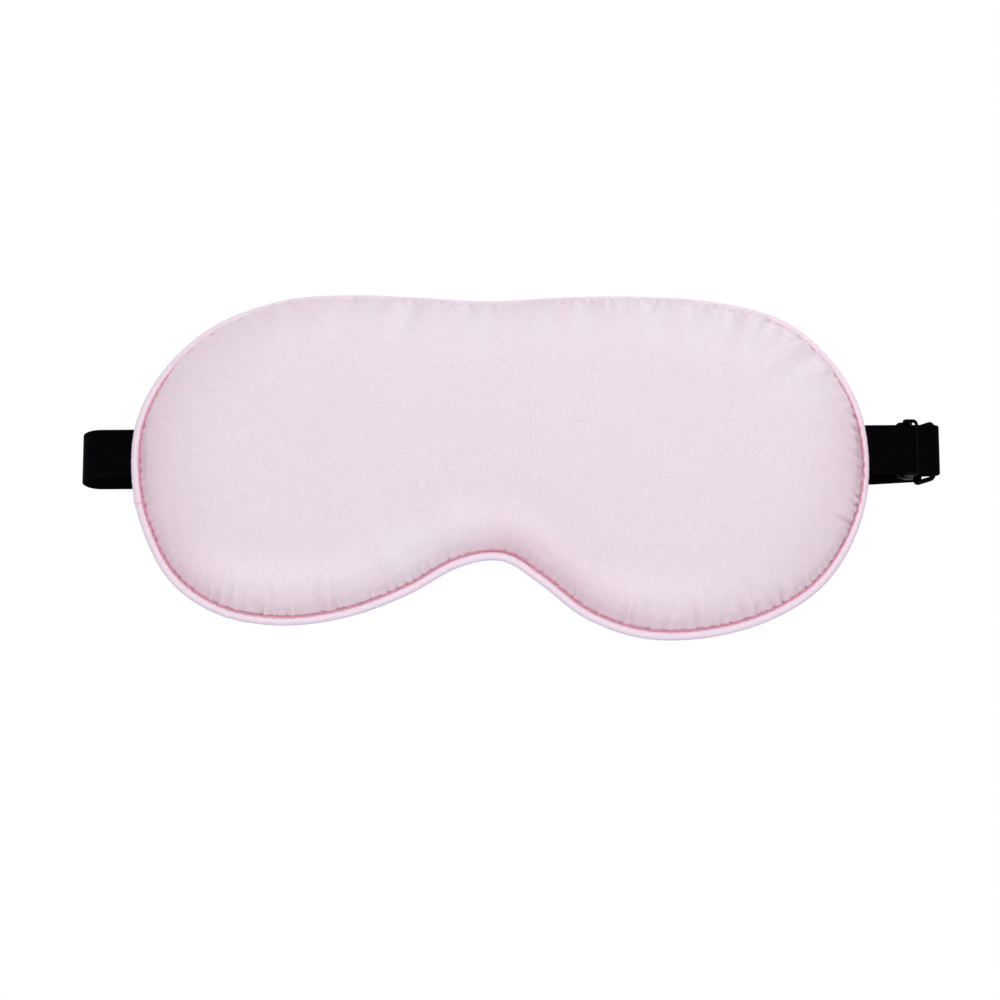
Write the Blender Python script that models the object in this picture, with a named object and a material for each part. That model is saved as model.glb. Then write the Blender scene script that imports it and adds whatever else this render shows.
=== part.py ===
"""Padded satin sleep mask with an elastic strap, its ring and its adjusting slider.

Metres, +Z up. The mask stands as it is worn: its front faces -Y, its back faces +Y and lies on the
face, and +X is to the right of someone who looks at the front. The origin is the middle of the back.
Lengths below are in millimetres, and add_object() turns them into metres. Depths are measured from
the seam plane, where the two covers meet, and count towards the back.
"""

import math

import bmesh
import bpy
import numpy as np

MM = 0.001
CLEARANCE = 0.3

# Outer edge of the mask, anticlockwise as seen from the front, starting at the dip in the top edge.
OUTLINE = [
    (-3.3, 51.0), (-23.4, 52.1), (-43.3, 52.9), (-62.9, 51.3), (-82.0, 44.0), (-96.2, 31.3),
    (-104.3, 15.9), (-106.0, 0.4), (-103.1, -16.6), (-94.4, -33.9), (-79.9, -44.2), (-61.9, -47.3),
    (-43.5, -44.8), (-26.5, -38.2), (-12.3, -30.1), (0.0, -28.1), (10.6, -34.7), (23.8, -45.2),
    (40.0, -51.1), (57.9, -51.0), (75.7, -46.0), (91.2, -35.8), (101.1, -20.2), (105.2, -2.0),
    (103.2, 17.3), (95.0, 33.0), (82.0, 44.7), (64.7, 50.2), (43.5, 52.3), (20.6, 52.3),
]
EDGE_STEPS = 72

# The covers rise towards a line along the mask's middle, which arches over the nose.
SPINE_HALF = 57.0
SPINE_Z = 3.0
SPINE_RISE = 8.0
SPINE_ARCH = 25.0

FRONT_DOME = 10.5
BACK_DOME = 4.5
DOME_REACH = 25.0
DOME_POWER = 2.2
SEAM_Y = -BACK_DOME

PIPING_RADIUS = 1.35
PIPING_CLOTH = 0.3
FLANGE_INSET = 8.0
COVER_CLOTH = 0.5
COVER_INSET = 2 * PIPING_RADIUS + CLEARANCE
FLANGE_OUTER = CLEARANCE / 2 + PIPING_CLOTH
COVER_EDGE = FLANGE_OUTER + CLEARANCE
FILLING_INSET = FLANGE_INSET + CLEARANCE
LINING_HALF = 0.3
THREAD_RADIUS = 0.2
THREAD_INSET = 2.55
THREAD_DEPTH = -1.75

STRAP_WIDTH = 14.6
STRAP_CLOTH = 0.9
STRAP_Z = 5.75
STRAP_SLOPE = 0.0065
STRAP_HALF = STRAP_CLOTH / 2
FRONT_RUN = PIPING_RADIUS + CLEARANCE + STRAP_HALF
BACK_RUN = 12.0
STRAP_END_X = 99.0
LEFT_LEAD_END = -111.6
LEFT_OUTERMOST = -120.4
BACK_RUN_LEFT = -107.7
BACK_RUN_RIGHT = 107.0
RIGHT_SIDE_END = 112.7

# The ring's two bars, as (x, depth), and the sewn ends of the two strap loops that hold them. The
# ends are (x, depth) steps from the bar.
WIRE = 0.7
BAR_TO_STRAP = WIRE + CLEARANCE + STRAP_HALF
RING_RIGHT = (123.9, FRONT_RUN + BAR_TO_STRAP)
RING_LEFT = (119.0, 8.6)
RING_HALF_HEIGHT = 8.3
RING_CORNER = 1.2
LOOP_END_STEPS = ((-1.8, -1.3), (-3.0, -0.4), (-4.0, 0.7))
SHORT_END_STEPS = ((-3.7, 0.25), (-1.9, 0.35))
LOOP_END_GAP = 0.6

SLIDER_X = 116.4
SLIDER_HALF_WIDTH = 3.2
SLIDER_HALF_HEIGHT = 8.5
SLIDER_RAIL = 0.9
SLIDER_BAR = 1.2
SLIDER_FRONT = FRONT_RUN - STRAP_HALF - CLEARANCE - SLIDER_BAR
SLIDER_ROUNDING = 0.25
POST_FLARE = 0.6
SLIDER_BEHIND = FRONT_RUN + STRAP_HALF + CLEARANCE
CENTRE_BAR_HALF = 0.8
CENTRE_BAR_DEPTH = 1.0
CENTRE_BAR_FRONT = FRONT_RUN + STRAP_HALF + 2 * CLEARANCE + STRAP_CLOTH
CENTRE_BAR_Y = CENTRE_BAR_FRONT + CENTRE_BAR_DEPTH / 2

TACK_LENGTH = 12.0
TACK_DEPTH = 0.4
TACK_WIDTH = 1.4
RING_TACK_STEP = 2.4
RING_TACK_GAP = 0.1
SLIDER_TACK = (RING_RIGHT[0] - 2.5, 5.95)


def clear_scene():
    for obj in list(bpy.data.objects):
        bpy.data.objects.remove(obj, do_unlink=True)


def make_material(name, colour, roughness, sheen=0.0):
    material = bpy.data.materials.new(name)
    material.use_nodes = True
    shader = material.node_tree.nodes["Principled BSDF"]
    shader.inputs["Base Color"].default_value = (*colour, 1.0)
    shader.inputs["Roughness"].default_value = roughness
    shader.inputs["Metallic"].default_value = 0.0
    shader.inputs["Sheen Weight"].default_value = sheen
    material.diffuse_color = (*colour, 1.0)
    return material


def make_empty(name, place=(0.0, 0.0, 0.0), parent=None):
    empty = bpy.data.objects.new(name, None)
    empty.location = [c * MM for c in place]
    empty.empty_display_size = 10 * MM
    empty.parent = parent
    bpy.context.scene.collection.objects.link(empty)
    return empty


def add_object(name, body, material, carrier):
    """Turns a bmesh in millimetres of the mask's frame into an object on its carrier."""
    bmesh.ops.recalc_face_normals(body, faces=body.faces)
    origin = carrier.location
    for vertex in body.verts:
        vertex.co = vertex.co * MM - origin
    mesh = bpy.data.meshes.new(name)
    body.to_mesh(mesh)
    body.free()
    mesh.materials.append(material)
    obj = bpy.data.objects.new(name, mesh)
    obj.parent = carrier
    bpy.context.scene.collection.objects.link(obj)
    return obj


def loft(rings, closed=False):
    """Joins rings of points in turn. Closed joins the last ring to the first; open caps both ends."""
    body = bmesh.new()
    loops = [[body.verts.new(point) for point in ring] for ring in rings]
    pairs = list(zip(loops, loops[1:]))
    if closed:
        pairs.append((loops[-1], loops[0]))
    for first, second in pairs:
        for n in range(len(first)):
            after = (n + 1) % len(first)
            body.faces.new((first[n], first[after], second[after], second[n]))
    if not closed:
        body.faces.new(loops[0])
        body.faces.new(list(reversed(loops[-1])))
    return body


def box(low, high):
    body = bmesh.new()
    bmesh.ops.create_cube(body, size=1.0)
    for vertex in body.verts:
        for axis in range(3):
            middle = (low[axis] + high[axis]) / 2
            vertex.co[axis] = middle + vertex.co[axis] * (high[axis] - low[axis])
    return body


def smooth_closed(points, per_span=16):
    """A closed Catmull-Rom curve through the points."""
    count = len(points)
    corner = np.array(points, float)
    found = []
    for n in range(count):
        a, b, c, d = (corner[(n + step) % count] for step in (-1, 0, 1, 2))
        for t in np.arange(per_span) / per_span:
            bend = 2 * a - 5 * b + 4 * c - d
            twist = -a + 3 * b - 3 * c + d
            found.append((2 * b + (c - a) * t + bend * t**2 + twist * t**3) / 2)
    return np.array(found)


def even_steps(curve, count):
    """Points at equal steps round a closed curve, and the inward normal at each."""
    closed = np.vstack([curve, curve[:1]])
    travelled = np.concatenate([[0], np.cumsum(np.linalg.norm(np.diff(closed, axis=0), axis=1))])
    wanted = np.arange(count) / count * travelled[-1]
    points = np.stack([np.interp(wanted, travelled, closed[:, axis]) for axis in (0, 1)], axis=1)
    along = np.roll(points, -1, axis=0) - np.roll(points, 1, axis=0)
    along /= np.linalg.norm(along, axis=1)[:, None]
    return points, np.stack([-along[:, 1], along[:, 0]], axis=1)


EDGE, INWARD = even_steps(smooth_closed(OUTLINE), EDGE_STEPS)


def inset_ring(inset, depth):
    """The outline moved inward, at one depth."""
    ring = EDGE + INWARD * inset
    return [(x, SEAM_Y + depth, z) for x, z in ring]


def spine_ring(share):
    """The ring just inside the seam allowance, drawn in towards the mask's long middle line."""
    ring = EDGE + INWARD * (FILLING_INSET + CLEARANCE)
    spine_x = np.clip(ring[:, 0], -SPINE_HALF, SPINE_HALF)
    spine_z = SPINE_Z + SPINE_RISE * np.exp(-((spine_x / SPINE_ARCH) ** 2))
    step = np.stack([spine_x, spine_z], axis=1) - ring
    reach = FILLING_INSET + CLEARANCE + share * np.linalg.norm(step, axis=1)
    return ring + share * step, reach


def dome_height(reach, height):
    """How far a cover stands out from its edge, at a distance in from the outline."""
    share = np.clip((reach - COVER_INSET) / DOME_REACH, 0.0, 1.0)
    return height * (1 - (1 - share) ** DOME_POWER) ** (1 / DOME_POWER)


def dome_rings(side, rise, offset, insets, shares):
    """Rings from the edge to the middle, as far inside the cover's outer face as offset says.

    Side is -1 on the front and 1 on the back.
    """
    height = rise - COVER_EDGE - COVER_CLOTH
    rings = []
    for inset in insets:
        depth = COVER_EDGE + COVER_CLOTH + dome_height(inset, height) - offset
        rings.append(inset_ring(inset + WALL_SHARE * offset, side * depth))
    for share in shares:
        ring, reach = spine_ring(share)
        depth = SEAM_Y + side * (COVER_EDGE + COVER_CLOTH + dome_height(reach, height) - offset)
        rings.append([(x, y, z) for (x, z), y in zip(ring, depth)])
    return rings


# An inner face also stands this share of its depth offset in from the edge, to keep a wall there.
WALL_SHARE = 0.7
COVER_INSETS = (COVER_INSET, 3.4, 4.4, 6.2, FILLING_INSET + CLEARANCE)
DOME_SHARES = (0.16, 0.36, 0.7)


def cover(side, rise):
    outer = dome_rings(side, rise, 0.0, COVER_INSETS, DOME_SHARES)
    inner = dome_rings(side, rise, COVER_CLOTH, COVER_INSETS, DOME_SHARES)
    return loft(list(reversed(outer)) + inner)


def filling(side, rise):
    crown = dome_rings(side, rise, COVER_CLOTH + CLEARANCE, (FILLING_INSET + CLEARANCE,), DOME_SHARES)
    flat = SEAM_Y + side * (LINING_HALF + CLEARANCE)
    base = [(x, flat, z) for x, _, z in crown[0]]
    return loft(list(reversed(crown)) + [base])


def lining():
    inset = FILLING_INSET + CLEARANCE
    return loft([inset_ring(inset, -LINING_HALF), inset_ring(inset, LINING_HALF)])


def round_section(inset, depth, radius, sides):
    turns = [2 * math.pi * n / sides for n in range(sides)]
    return [(inset - radius * math.cos(a), depth + radius * math.sin(a)) for a in turns]


def edge_sweep(section):
    """Carries a section of (inset, depth) points round the outline."""
    return loft([inset_ring(inset, depth) for inset, depth in section], closed=True)


def piping_section(turns=10):
    """A strip folded round the cord: a slit tube whose two lips run in between the covers."""
    inner = PIPING_RADIUS - PIPING_CLOTH
    outer_open = math.asin(FLANGE_OUTER / PIPING_RADIUS)
    inner_open = math.asin(CLEARANCE / 2 / inner)

    def arc(radius, opening):
        start = -math.pi + opening
        stop = math.pi - opening
        angles = [start + (stop - start) * n / turns for n in range(turns + 1)]
        return [(PIPING_RADIUS - radius * math.cos(a), radius * math.sin(a)) for a in angles]

    outer = [(FLANGE_INSET, -FLANGE_OUTER), *arc(PIPING_RADIUS, outer_open), (FLANGE_INSET, FLANGE_OUTER)]
    lips = arc(inner, inner_open)
    back = [(FLANGE_INSET, CLEARANCE / 2), *reversed(lips), (FLANGE_INSET, -CLEARANCE / 2)]
    return outer + back


def arc_points(centre, radius, start, stop, steps):
    """Points on an arc, between two angles in degrees."""
    angles = [math.radians(start + (stop - start) * n / steps) for n in range(steps + 1)]
    return [(centre[0] + radius * math.cos(a), centre[1] + radius * math.sin(a)) for a in angles]


def strap_middle(x):
    """Height of the strap's middle line, which climbs a little towards the slider."""
    return STRAP_Z + STRAP_SLOPE * x


def strap(path):
    """A band of elastic along a path of (x, depth) points."""
    line = np.array(path, float)
    along = np.gradient(line, axis=0)
    along /= np.linalg.norm(along, axis=1)[:, None]
    across = np.stack([-along[:, 1], along[:, 0]], axis=1) * STRAP_HALF
    rings = []
    for point, side in zip(line, across):
        left = point + side
        right = point - side
        low = strap_middle(point[0]) - STRAP_WIDTH / 2
        high = strap_middle(point[0]) + STRAP_WIDTH / 2
        corners = ((left, low), (left, high), (right, high), (right, low))
        rings.append([(x, SEAM_Y + depth, z) for (x, depth), z in corners])
    return loft(rings)


def left_turn_path():
    radius = (BACK_RUN - FRONT_RUN) / 2
    centre = (LEFT_OUTERMOST + STRAP_HALF + radius, FRONT_RUN + radius)
    start = (LEFT_LEAD_END - CLEARANCE, FRONT_RUN)
    stop = (BACK_RUN_LEFT - CLEARANCE, BACK_RUN)
    return [start, *arc_points(centre, radius, -90, -270, 14), stop]


def ring_side_depth(x):
    """Depth of the long strap where it slants from the back run to the ring."""
    share = (x - BACK_RUN_RIGHT) / (RING_LEFT[0] - BACK_RUN_RIGHT)
    return BACK_RUN + share * (RING_LEFT[1] + BAR_TO_STRAP - BACK_RUN)


def right_side_path():
    start = BACK_RUN_RIGHT + CLEARANCE
    return [(start, ring_side_depth(start)), (RIGHT_SIDE_END, ring_side_depth(RIGHT_SIDE_END))]


def ring_loop_path():
    """Round the ring's left bar and back under the strap, where the end is sewn down."""
    start = RIGHT_SIDE_END + CLEARANCE
    under = STRAP_CLOTH + CLEARANCE
    turn = arc_points(RING_LEFT, BAR_TO_STRAP, 80, -90, 10)
    end = [(RING_LEFT[0] + x, RING_LEFT[1] + depth) for x, depth in LOOP_END_STEPS]
    last = (start + LOOP_END_GAP, ring_side_depth(start) - under)
    return [(start, ring_side_depth(start)), *turn, *end, last]


def short_strap_path():
    """From the seam through the slider, round the ring and back round the slider's centre bar."""
    bend = arc_points(RING_RIGHT, BAR_TO_STRAP, -90, 90, 10)
    radius = CENTRE_BAR_DEPTH / 2 + CLEARANCE + STRAP_HALF
    tail = (SLIDER_X + CENTRE_BAR_HALF, CENTRE_BAR_Y + radius)
    loop = arc_points((SLIDER_X - 0.25, CENTRE_BAR_Y), radius, 90, 270, 8)
    leave = (SLIDER_X + 2 * CENTRE_BAR_HALF, CENTRE_BAR_Y - radius)
    end = [(RING_RIGHT[0] + x, RING_RIGHT[1] + depth) for x, depth in SHORT_END_STEPS]
    return [(STRAP_END_X, FRONT_RUN), *bend, tail, *loop, leave, *end]


def bartack(x, depth):
    middle = strap_middle(x)
    low = (x - TACK_WIDTH / 2, SEAM_Y + depth, middle - TACK_LENGTH / 2)
    high = (x + TACK_WIDTH / 2, SEAM_Y + depth + TACK_DEPTH, middle + TACK_LENGTH / 2)
    return box(low, high)


def ring_wire(sides=8, corner_steps=5):
    """A rounded rectangle of round wire, standing on edge between its two strap loops."""
    left = np.array(RING_LEFT)
    span = np.array(RING_RIGHT) - left
    half_width = np.linalg.norm(span) / 2
    direction = span / np.linalg.norm(span)
    middle = left + span / 2
    path = []
    for quarter, (side, top) in enumerate(((1, 1), (-1, 1), (-1, -1), (1, -1))):
        corner = (side * (half_width - RING_CORNER), top * (RING_HALF_HEIGHT - RING_CORNER))
        path += arc_points(corner, RING_CORNER, 90 * quarter, 90 * quarter + 90, corner_steps)
    line = np.array(path)
    along = np.roll(line, -1, axis=0) - np.roll(line, 1, axis=0)
    along /= np.linalg.norm(along, axis=1)[:, None]
    rings = []
    for (s, z), (ds, dz) in zip(line, along):
        ring = []
        for n in range(sides):
            turn = 2 * math.pi * n / sides
            out = WIRE * math.cos(turn)
            through = WIRE * math.sin(turn)
            place = middle + direction * (s + dz * out)
            place = place + np.array((-direction[1], direction[0])) * through
            ring.append((place[0], SEAM_Y + place[1], strap_middle(middle[0]) + z - ds * out))
        rings.append(ring)
    return loft(rings, closed=True)


def slider_block(x_range, depth_range, z_range):
    middle = strap_middle(SLIDER_X)
    low = (SLIDER_X + x_range[0], SEAM_Y + depth_range[0], middle + z_range[0])
    high = (SLIDER_X + x_range[1], SEAM_Y + depth_range[1], middle + z_range[1])
    return box(low, high)


def unite(target, tools):
    for tool in tools:
        tool.hide_render = True
        tool.display_type = "WIRE"
        joined = target.modifiers.new("Join " + tool.name, "BOOLEAN")
        joined.operation = "UNION"
        joined.object = tool


def half_frame(name, side, depth_range, post, material, carrier):
    """Three sides of a frame: a rail on one side, and an arm above and below the strap."""
    height = SLIDER_HALF_HEIGHT
    inner = height - SLIDER_RAIL
    ends = sorted((-side * post, side * SLIDER_HALF_WIDTH))
    frame = add_object(name, slider_block(ends, depth_range, (-height, height)), material, carrier)
    ends = sorted((-side * (post + 1), side * (SLIDER_HALF_WIDTH - SLIDER_RAIL)))
    depths = (depth_range[0] - 1, depth_range[1] + 1)
    opening = slider_block(ends, depths, (-inner, inner))
    cutter = add_object(name + "_window_cutter", opening, material, carrier)
    cutter.hide_render = True
    cutter.display_type = "WIRE"
    cut = frame.modifiers.new("Cut window", "BOOLEAN")
    cut.operation = "DIFFERENCE"
    cut.object = cutter
    return frame


def add_slider(material, carrier):
    """One rail before the strap and one behind it, and a centre bar further back on two posts."""
    half_height = SLIDER_HALF_HEIGHT
    inner = half_height - SLIDER_RAIL
    front = (SLIDER_FRONT, SLIDER_FRONT + SLIDER_BAR)
    behind = (SLIDER_BEHIND, SLIDER_BEHIND + SLIDER_BAR)
    rear = (CENTRE_BAR_FRONT, CENTRE_BAR_FRONT + CENTRE_BAR_DEPTH)
    post = CENTRE_BAR_HALF + CLEARANCE
    wide = post + POST_FLARE
    slider = half_frame("slider", 1, front, post, material, carrier)
    tools = [half_frame("slider_left_frame", -1, behind, post, material, carrier)]
    for name, low, high in (("lower", -half_height, -inner), ("upper", inner, half_height)):
        body = slider_block((-post, wide), (front[0], rear[1]), (low, high))
        tools.append(add_object("slider_" + name + "_post", body, material, carrier))
    bar_ends = (-half_height + SLIDER_RAIL / 2, half_height - SLIDER_RAIL / 2)
    bar = slider_block((-CENTRE_BAR_HALF, CENTRE_BAR_HALF), rear, bar_ends)
    tools.append(add_object("slider_centre_bar", bar, material, carrier))
    unite(slider, tools)
    edge = slider.modifiers.new("Rounded edges", "BEVEL")
    edge.width = SLIDER_ROUNDING * MM
    edge.segments = 2
    edge.limit_method = "ANGLE"
    return slider


def add_strap_slots(back_cover, carrier, material):
    """Opens the back cover at each end, where a strap goes in to be sewn into the seam."""
    for name, side in (("left", -1), ("right", 1)):
        inner = side * (STRAP_END_X - CLEARANCE)
        outer = side * (STRAP_END_X + 10)
        reach = STRAP_WIDTH / 2 + CLEARANCE
        gap = STRAP_HALF + CLEARANCE
        middle = strap_middle(inner)
        low = (min(inner, outer), SEAM_Y + FRONT_RUN - gap, middle - reach)
        high = (max(inner, outer), SEAM_Y + FRONT_RUN + gap, middle + reach)
        cutter = add_object(name + "_strap_slot_cutter", box(low, high), material, carrier)
        cutter.hide_render = True
        cutter.display_type = "WIRE"
        cut = back_cover.modifiers.new("Slot for the " + name + " strap", "BOOLEAN")
        cut.operation = "DIFFERENCE"
        cut.object = cutter


def shade_round(obj):
    obj.data.shade_smooth()
    obj.data.set_sharp_from_angle(angle=math.radians(35))


def build():
    clear_scene()
    satin = make_material("pink_satin", (0.83, 0.69, 0.75), 0.35, 0.3)
    piping = make_material("piping_satin", (0.82, 0.66, 0.76), 0.32, 0.3)
    wadding = make_material("white_wadding", (0.85, 0.84, 0.82), 0.95)
    blackout = make_material("blackout_cloth", (0.02, 0.02, 0.022), 0.9)
    cotton = make_material("cotton_cord", (0.8, 0.78, 0.74), 0.9)
    thread = make_material("rose_thread", (0.5, 0.14, 0.2), 0.6)
    elastic = make_material("black_elastic", (0.006, 0.006, 0.009), 0.75)
    plastic = make_material("black_plastic", (0.008, 0.008, 0.01), 0.2)
    black_thread = make_material("black_thread", (0.01, 0.01, 0.012), 0.7)

    mask = make_empty("mask")
    back_strap = make_empty("back_strap_slide", (0, SEAM_Y + BACK_RUN, STRAP_Z))
    ring_middle = ((RING_LEFT[0] + RING_RIGHT[0]) / 2, (RING_LEFT[1] + RING_RIGHT[1]) / 2)
    ring_place = (ring_middle[0], SEAM_Y + ring_middle[1], strap_middle(ring_middle[0]))
    ring_slide = make_empty("ring_slide", ring_place)
    slider_slide = make_empty("slider_slide", (SLIDER_X, SEAM_Y + FRONT_RUN, strap_middle(SLIDER_X)))

    front_cover = add_object("front_cover", cover(-1, FRONT_DOME), satin, mask)
    back_cover = add_object("back_cover", cover(1, BACK_DOME), satin, mask)
    add_strap_slots(back_cover, mask, satin)
    front_padding = add_object("front_padding", filling(-1, FRONT_DOME), wadding, mask)
    back_padding = add_object("back_padding", filling(1, BACK_DOME), wadding, mask)
    add_object("blackout_lining", lining(), blackout, mask)
    piping_cover = add_object("piping_cover", edge_sweep(piping_section()), piping, mask)
    cord_radius = PIPING_RADIUS - PIPING_CLOTH - CLEARANCE
    cord = edge_sweep(round_section(PIPING_RADIUS, 0.0, cord_radius, 6))
    piping_cord = add_object("piping_cord", cord, cotton, mask)
    stitches = edge_sweep(round_section(THREAD_INSET, THREAD_DEPTH, THREAD_RADIUS, 4))
    seam_thread = add_object("seam_thread", stitches, thread, mask)

    lead = [(-STRAP_END_X, FRONT_RUN), (LEFT_LEAD_END, FRONT_RUN)]
    add_object("strap_left_lead", strap(lead), elastic, mask)
    left_turn = add_object("strap_left_turn", strap(left_turn_path()), elastic, mask)
    run = [(BACK_RUN_LEFT, BACK_RUN), (BACK_RUN_RIGHT, BACK_RUN)]
    add_object("strap_back_run", strap(run), elastic, back_strap)
    add_object("strap_right_side", strap(right_side_path()), elastic, mask)
    ring_loop = add_object("strap_ring_loop", strap(ring_loop_path()), elastic, ring_slide)
    tack_x = RIGHT_SIDE_END + RING_TACK_STEP
    tack_depth = ring_side_depth(tack_x) + STRAP_HALF + CLEARANCE + RING_TACK_GAP
    add_object("strap_ring_tack", bartack(tack_x, tack_depth), black_thread, ring_slide)
    ring = add_object("ring", ring_wire(), plastic, ring_slide)

    short_strap = add_object("short_strap", strap(short_strap_path()), elastic, mask)
    add_object("slider_tack", bartack(*SLIDER_TACK), black_thread, slider_slide)
    add_slider(plastic, slider_slide)

    smooth = (front_cover, back_cover, front_padding, back_padding, piping_cover, piping_cord)
    for obj in (*smooth, seam_thread, left_turn, ring_loop, short_strap, ring):
        shade_round(obj)


build()
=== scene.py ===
"""Looks of the padded satin sleep mask: satin panels, piping, stitches, elastic, ring and slider.

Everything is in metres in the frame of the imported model: the front faces -Y, +X is to the right of
someone who looks at the front, and +Z is up. Depths are measured from the seam plane to the back.
"""

import math

import bmesh
import bpy
import numpy as np
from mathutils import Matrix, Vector, geometry


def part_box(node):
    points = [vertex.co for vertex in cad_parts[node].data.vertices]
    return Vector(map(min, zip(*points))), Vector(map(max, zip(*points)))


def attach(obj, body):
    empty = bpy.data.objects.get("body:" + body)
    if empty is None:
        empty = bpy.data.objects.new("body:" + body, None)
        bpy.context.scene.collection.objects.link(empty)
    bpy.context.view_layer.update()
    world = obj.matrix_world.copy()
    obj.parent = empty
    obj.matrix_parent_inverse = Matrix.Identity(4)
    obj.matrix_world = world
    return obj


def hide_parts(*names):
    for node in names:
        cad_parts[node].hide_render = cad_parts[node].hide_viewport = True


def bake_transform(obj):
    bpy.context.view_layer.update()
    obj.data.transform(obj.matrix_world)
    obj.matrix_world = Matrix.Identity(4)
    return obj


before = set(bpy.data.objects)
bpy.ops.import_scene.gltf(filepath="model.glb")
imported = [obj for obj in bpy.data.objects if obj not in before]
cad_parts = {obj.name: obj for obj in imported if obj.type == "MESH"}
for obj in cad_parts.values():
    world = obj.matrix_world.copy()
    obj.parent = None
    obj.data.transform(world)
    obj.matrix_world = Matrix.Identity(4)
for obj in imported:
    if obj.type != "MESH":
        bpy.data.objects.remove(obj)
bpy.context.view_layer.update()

MM = 0.001

# Outer edge of the mask in millimetres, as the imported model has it, seen from the front.
OUTLINE = [
    (-3.3, 51.0), (-23.4, 52.1), (-43.3, 52.9), (-62.9, 51.3), (-82.0, 44.0), (-96.2, 31.3),
    (-104.3, 15.9), (-106.0, 0.4), (-103.1, -16.6), (-94.4, -33.9), (-79.9, -44.2), (-61.9, -47.3),
    (-43.5, -44.8), (-26.5, -38.2), (-12.3, -30.1), (0.0, -28.1), (10.6, -34.7), (23.8, -45.2),
    (40.0, -51.1), (57.9, -51.0), (75.7, -46.0), (91.2, -35.8), (101.1, -20.2), (105.2, -2.0),
    (103.2, 17.3), (95.0, 33.0), (82.0, 44.7), (64.7, 50.2), (43.5, 52.3), (20.6, 52.3),
]


def corner(node, end, axis):
    """One coordinate of a node's box: end 0 is the low corner and 1 the high one."""
    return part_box(node)[end][axis]


def middle_of(node, axis):
    return (corner(node, 0, axis) + corner(node, 1, axis)) / 2


def length_of(node, axis):
    return corner(node, 1, axis) - corner(node, 0, axis)


SEAM_Y = middle_of("piping_cover", 1)
PIPING_RADIUS = (corner("piping_cover", 1, 1) - corner("piping_cover", 0, 1)) / 2
FRONT_RISE = SEAM_Y - corner("front_cover", 0, 1)
BACK_RISE = corner("back_cover", 1, 1) - SEAM_Y

STRAP_CLOTH = corner("strap_back_run", 1, 1) - corner("strap_back_run", 0, 1)
STRAP_HALF = STRAP_CLOTH / 2
FRONT_RUN = corner("strap_left_lead", 0, 1) + STRAP_HALF - SEAM_Y
BACK_RUN = corner("strap_back_run", 0, 1) + STRAP_HALF - SEAM_Y

# The strap climbs a little from its left end to the slider.
CLIMB = middle_of("strap_ring_loop", 2) - middle_of("strap_left_lead", 2)
STRAP_SLOPE = CLIMB / (middle_of("strap_ring_loop", 0) - middle_of("strap_left_lead", 0))
LEAD_CLIMB = STRAP_SLOPE * length_of("strap_left_lead", 0)
STRAP_HALF_WIDTH = (length_of("strap_left_lead", 2) - LEAD_CLIMB) / 2


def strap_z(x):
    """Height of the strap's middle line."""
    return middle_of("strap_left_lead", 2) + STRAP_SLOPE * (x - middle_of("strap_left_lead", 0))


PANEL_INSET = 2.45 * MM
PANEL_EDGE = 0.8 * MM
PANEL_CLOTH = 0.3 * MM
DOME_REACH = 25.0 * MM
DOME_POWER = 2.2

# How far the gathered front bulges over the piping: (point on the outline, bulge), all in mm.
OVERHANGS = (
    ((105, 4), 0.0),
    ((103.5, 13), 0.4),
    ((100, 24), 1.3),
    ((95, 33), 1.6),
    ((80, 45), 1.6),
    ((66, 50), 2.4),
    ((20, 52), 2.6),
    ((-60, 51.5), 2.6),
    ((-80, 45), 1.7),
    ((-95, 32.5), 1.7),
    ((-101.5, 22), 0.9),
    ((-104.5, 14), 0.0),
)

# Bumps round the outline: (point on it in mm, half width in mm, size). First how far inside its
# usual line the seam is sewn, in mm.
SEAM_SHIFTS = (((0, -28), 14, 0.25), ((-62, -47), 20, -0.3), ((105, -2), 24, -0.8))
SHIFT_REACH = 6.0 * MM
SEAM_WAVES = (((105, -2), 24, 0.13),)
SEAM_WAVE_LENGTH = 3.7 * MM

# Then how much deeper the satin's colour is beside the seam: a painted shade, in a deeper pink.
SEAM_SHADE = 4.5 * MM
LEAST_SHADE = 0.32
SEAM_SHADES = (
    ((105, 4), 20, 0.50),
    ((-23, -36), 17, -0.24),
    ((4, -29), 7, 0.30),
    ((19, -40), 16, 0.55),
    ((-105, -4), 24, 0.48),
    ((-93, -35), 12, 0.35),
)

# Painted highlight: the satin is painted lighter in patches between its gathers, most along the top.
HIGHLIGHT_REACH = 8 * MM
HIGHLIGHT_WAVES = (17.3 * MM, 10.9 * MM)
PAINTED_HIGHLIGHTS = (
    ((62, 47), 34, 1.0),
    ((0, 51), 34, 0.75),
    ((99, 24), 14, 0.6),
    ((-45, 50), 24, 0.4),
    ((-22, -36), 15, 1.0),
)

OUTLINE_STEPS = 1560
rng = np.random.default_rng(7)


# -------- outline


def smooth_closed(points, per_span=60):
    """A closed Catmull-Rom curve through the points."""
    count = len(points)
    knot = np.array(points, float) * MM
    found = []
    for n in range(count):
        a, b, c, d = (knot[(n + step) % count] for step in (-1, 0, 1, 2))
        for t in np.arange(per_span) / per_span:
            bend = 2 * a - 5 * b + 4 * c - d
            twist = -a + 3 * b - 3 * c + d
            found.append((2 * b + (c - a) * t + bend * t**2 + twist * t**3) / 2)
    return np.array(found)


def even_steps(curve, count):
    """Points at equal steps round a closed curve, the inward normal at each, and its length."""
    closed = np.vstack([curve, curve[:1]])
    travelled = np.concatenate([[0], np.cumsum(np.linalg.norm(np.diff(closed, axis=0), axis=1))])
    wanted = np.arange(count) / count * travelled[-1]
    points = np.stack([np.interp(wanted, travelled, closed[:, axis]) for axis in (0, 1)], axis=1)
    along = np.roll(points, -3, axis=0) - np.roll(points, 3, axis=0)
    along /= np.linalg.norm(along, axis=1)[:, None]
    return points, np.stack([-along[:, 1], along[:, 0]], axis=1), travelled[-1]


EDGE, INWARD, EDGE_LENGTH = even_steps(smooth_closed(OUTLINE), OUTLINE_STEPS)


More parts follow.
